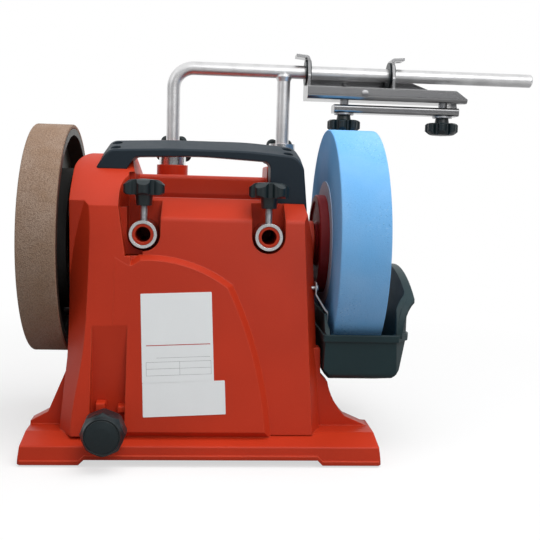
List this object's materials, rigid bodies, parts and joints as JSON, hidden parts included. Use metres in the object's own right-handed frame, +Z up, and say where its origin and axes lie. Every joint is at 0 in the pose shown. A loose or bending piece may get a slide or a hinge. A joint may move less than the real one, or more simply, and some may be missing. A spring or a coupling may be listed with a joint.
{
  "type": "wet sharpening machine",
  "caption": "Bench wet sharpening machine with a water-cooled grinding stone, a leather honing wheel, a carrying handle, a height-adjustable tool support with a clamping jig, and a speed knob.",
  "frame": {"origin": "on the bench, under the middle of the base, in the vertical plane of the wheel shaft", "axes": "+X along the wheel shaft towards the grinding stone, +Y to the rear, +Z up"},
  "size_m": [0.4518, 0.2511, 0.3341],
  "materials": {
    "red_plastic": "moulded, fine grain, satin",
    "dark_plastic": "moulded, satin",
    "black_plastic": "moulded, matt",
    "trough_plastic": "moulded, satin",
    "bright_steel": "plated, bright",
    "zinc_steel": "zinc plated",
    "blue_stone": "fine grained, matt",
    "brown_leather": "raw grain side",
    "paper_disc": "plain",
    "black_rubber": "matt",
    "bearing_bronze": "turned",
    "motor_paint": "painted",
    "board": "laminate"
  },
  "bodies": {
    "machine": {"housing": "red_plastic", "handle": "dark_plastic", "handle_screws": "zinc_steel", "base_plate": "zinc_steel", "base_screws": "zinc_steel", "rubber_feet": "black_rubber", "front_sleeve_left": "bright_steel", "front_sleeve_right": "bright_steel", "front_bush_left": "red_plastic", "front_bush_right": "red_plastic", "rear_sleeve_left": "bright_steel", "rear_sleeve_right": "bright_steel", "rear_bush_left": "red_plastic", "rear_bush_right": "red_plastic", "shaft_bearings": "bearing_bronze", "motor_can": "motor_paint", "motor_bracket": "zinc_steel", "motor_screws": "zinc_steel", "bracket_bolts": "zinc_steel", "trough_clip": "zinc_steel", "clip_screw": "zinc_steel", "potentiometer": "black_plastic", "pot_nut": "zinc_steel", "control_board": "board", "inlet_gland": "black_plastic", "gland_nut": "black_plastic"},
    "wheels": {"main_shaft": "zinc_steel", "grinding_stone": "blue_stone", "stone_paper_discs": "paper_disc", "stone_flange": "red_plastic", "stone_washer": "zinc_steel", "stone_nut": "zinc_steel", "honing_wheel": "black_plastic", "leather_band": "brown_leather", "honing_washer": "zinc_steel", "honing_nut": "zinc_steel", "drive_wheel": "black_plastic", "friction_ring": "black_rubber"},
    "roller": {"motor_shaft": "zinc_steel", "motor_rotor": "zinc_steel", "friction_roller": "zinc_steel"},
    "support": {"support_bar": "bright_steel"},
    "jig_slider": {"jig_bushes": "black_plastic"},
    "jig": {"jig_carrier": "bright_steel", "jig_clamp_bar": "bright_steel", "jig_screws": "zinc_steel", "jig_washers": "zinc_steel"},
    "jig_clamp_left": {"jig_knob_left": "black_plastic"},
    "jig_clamp_right": {"jig_knob_right": "black_plastic"},
    "front_clamp_left": {"front_knob_left": "black_plastic", "front_screw_left": "zinc_steel"},
    "front_clamp_right": {"front_knob_right": "black_plastic", "front_screw_right": "zinc_steel"},
    "rear_clamp_left": {"rear_knob_left": "black_plastic", "rear_screw_left": "zinc_steel"},
    "rear_clamp_right": {"rear_knob_right": "black_plastic", "rear_screw_right": "zinc_steel"},
    "speed_control": {"speed_knob": "black_plastic", "speed_spindle": "zinc_steel"},
    "trough": {"water_trough": "trough_plastic"}
  },
  "joints": [
    {"name": "wheel_spin", "type": "hinge", "parent": "machine", "child": "wheels", "pos_m": [0, 0, 0.165], "axis": [1, 0, 0], "continuous": true},
    {"name": "roller_spin", "type": "hinge", "parent": "machine", "child": "roller", "pos_m": [-0.118, 0.02207, 0.10089], "axis": [1, 0, 0], "continuous": true},
    {"name": "support_height", "type": "slide", "parent": "machine", "child": "support", "axis": [0, 0, 1], "range_m": [0, 0.05]},
    {"name": "jig_slide", "type": "slide", "parent": "support", "child": "jig_slider", "axis": [1, 0, 0], "range_m": [-0.008, 0.12]},
    {"name": "jig_swing", "type": "hinge", "parent": "jig_slider", "child": "jig", "pos_m": [0.128, 0.04, 0.3186], "axis": [1, 0, 0], "range_deg": [-100, 100]},
    {"name": "jig_knob_left_turn", "type": "hinge", "parent": "jig", "child": "jig_clamp_left", "pos_m": [0.1245, 0.04, 0.2726], "axis": [0, 0, 1], "range_deg": [0, 720]},
    {"name": "jig_knob_right_turn", "type": "hinge", "parent": "jig", "child": "jig_clamp_right", "pos_m": [0.217, 0.04, 0.2726], "axis": [0, 0, 1], "range_deg": [0, 720]},
    {"name": "front_knob_left_turn", "type": "hinge", "parent": "machine", "child": "front_clamp_left", "pos_m": [-0.05, -0.062, 0.205], "axis": [0, 0, 1], "range_deg": [0, 720]},
    {"name": "front_knob_right_turn", "type": "hinge", "parent": "machine", "child": "front_clamp_right", "pos_m": [0.05, -0.062, 0.205], "axis": [0, 0, 1], "range_deg": [0, 720]},
    {"name": "rear_knob_left_turn", "type": "hinge", "parent": "machine", "child": "rear_clamp_left", "pos_m": [-0.032, 0.066, 0.244], "axis": [0, 1, 0], "range_deg": [0, 720]},
    {"name": "rear_knob_right_turn", "type": "hinge", "parent": "machine", "child": "rear_clamp_right", "pos_m": [0.068, 0.066, 0.244], "axis": [0, 1, 0], "range_deg": [0, 720]},
    {"name": "speed_knob_turn", "type": "hinge", "parent": "machine", "child": "speed_control", "pos_m": [-0.0735, -0.125, 0.029], "axis": [0, 1, 0], "range_deg": [0, 280]},
    {"name": "trough_drop", "type": "slide", "parent": "machine", "child": "trough", "axis": [0, 0, -1], "range_m": [0, 0.006]}
  ],
  "couplings": [
    {"joint": "roller_spin", "follows": "wheel_spin", "ratio": -8}
  ]
}
